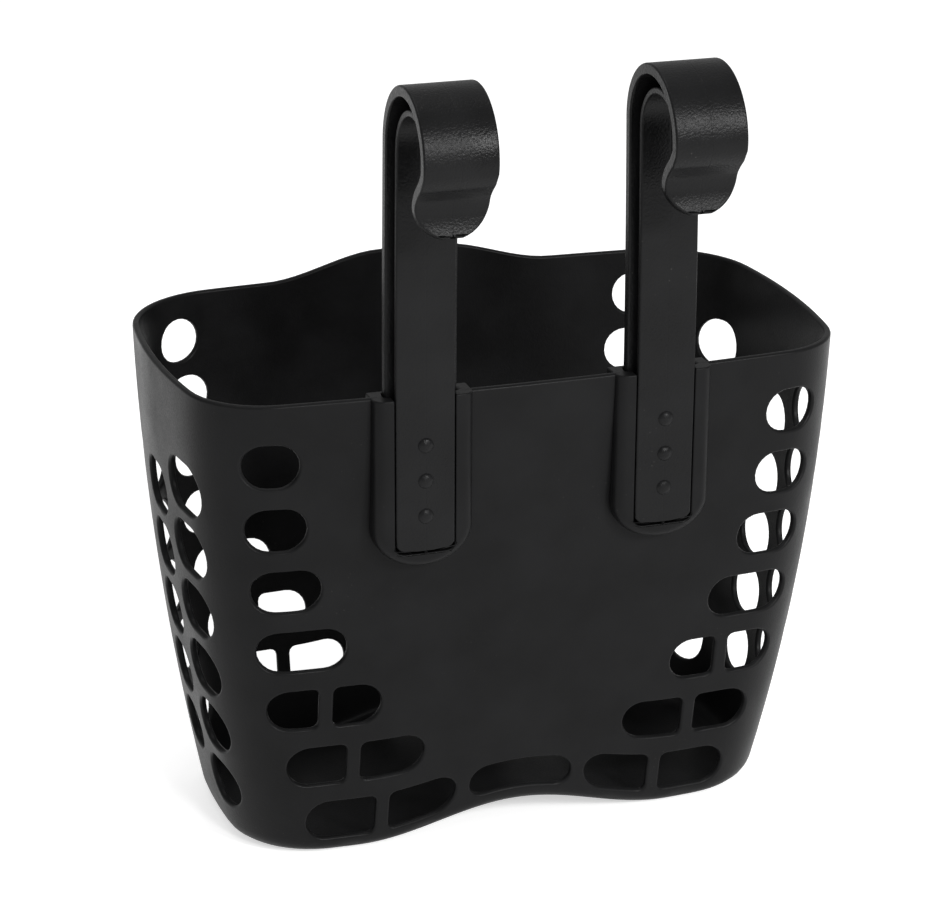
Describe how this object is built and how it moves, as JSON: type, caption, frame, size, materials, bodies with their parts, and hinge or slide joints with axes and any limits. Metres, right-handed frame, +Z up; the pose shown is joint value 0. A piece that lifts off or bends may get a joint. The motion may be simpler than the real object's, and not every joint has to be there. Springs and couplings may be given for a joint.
{
  "type": "handlebar basket",
  "caption": "Perforated moulded tub that hangs from a handlebar by snap-over hooks, which slide down into pockets on its near wall.",
  "frame": {"origin": "on the ground, under the middle of the whole object's bounding box", "axes": "+X to the right as seen from the side with the hooks, +Y away from the handlebar, +Z up"},
  "size_m": [0.25, 0.1844, 0.3],
  "materials": {
    "tub_plastic": "satin, near black, fine moulded grain",
    "hook_plastic": "satin, near black, slightly glossier on the curl"
  },
  "bodies": {
    "basket": {"tub": "tub_plastic"},
    "left_hook": {"left_hook": "hook_plastic"},
    "right_hook": {"right_hook": "hook_plastic"}
  },
  "joints": [
    {"name": "left_hook_slide", "type": "slide", "parent": "basket", "child": "left_hook", "axis": [0, 0, 1], "range_m": [0, 0.06]},
    {"name": "right_hook_slide", "type": "slide", "parent": "basket", "child": "right_hook", "axis": [0, 0, 1], "range_m": [0, 0.06]}
  ]
}
